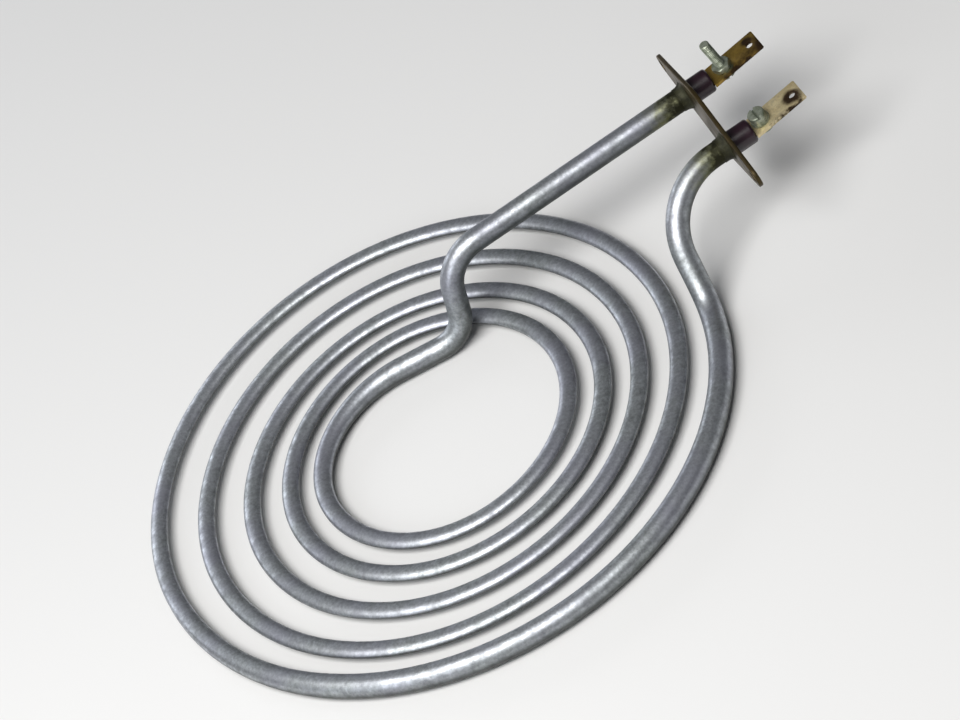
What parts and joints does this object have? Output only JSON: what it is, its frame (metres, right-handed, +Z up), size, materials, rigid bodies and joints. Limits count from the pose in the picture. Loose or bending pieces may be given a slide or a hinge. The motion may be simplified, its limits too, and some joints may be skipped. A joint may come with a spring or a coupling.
{
  "type": "tubular heating element",
  "caption": "Spiral tubular heating element: a flat coil of swaged metal-sheathed tube with two raised cold ends brazed through a rhombic flange, with insulating bushes and screw tabs.",
  "frame": {"origin": "centre of the flange's seat face, midway between its two screw holes and the two tube ends", "axes": "+X out of the seat towards the terminals, along both leads; +Y from lead B to lead A, along the flange; +Z up, at right angles to the plane of the coil, which lies below the leads"},
  "size_m": [0.2637, 0.2041, 0.0462],
  "materials": {
    "sheath": "bare drawn steel tube, satin, lightly mottled",
    "insulation": "compacted magnesium oxide powder",
    "winding": "resistance alloy wire",
    "pin_a": "nickel-plated steel rod",
    "pin_b": "nickel-plated steel rod",
    "seal_a": "cured moisture seal",
    "seal_b": "cured moisture seal",
    "flange": "yellow-passivated plate",
    "braze_a": "braze metal",
    "braze_b": "braze metal",
    "bush_a": "maroon moulded insulator",
    "bush_b": "maroon moulded insulator",
    "tab_a": "aged brass",
    "tab_b": "bright brass",
    "screw_a": "zinc-plated steel",
    "screw_b": "zinc-plated steel",
    "nut_a": "zinc-plated steel",
    "nut_b": "zinc-plated steel",
    "washer_b": "zinc-plated steel",
    "spring_washer_b": "zinc-plated spring steel"
  },
  "bodies": {
    "root": {"sheath": "sheath", "insulation": "insulation", "winding": "winding", "pin_a": "pin_a", "pin_b": "pin_b", "seal_a": "seal_a", "seal_b": "seal_b", "flange": "flange", "braze_a": "braze_a", "braze_b": "braze_b", "bush_a": "bush_a", "bush_b": "bush_b", "tab_a": "tab_a", "tab_b": "tab_b", "screw_a": "screw_a", "screw_b": "screw_b", "nut_a": "nut_a", "nut_b": "nut_b", "washer_b": "washer_b", "spring_washer_b": "spring_washer_b"}
  },
  "joints": []
}
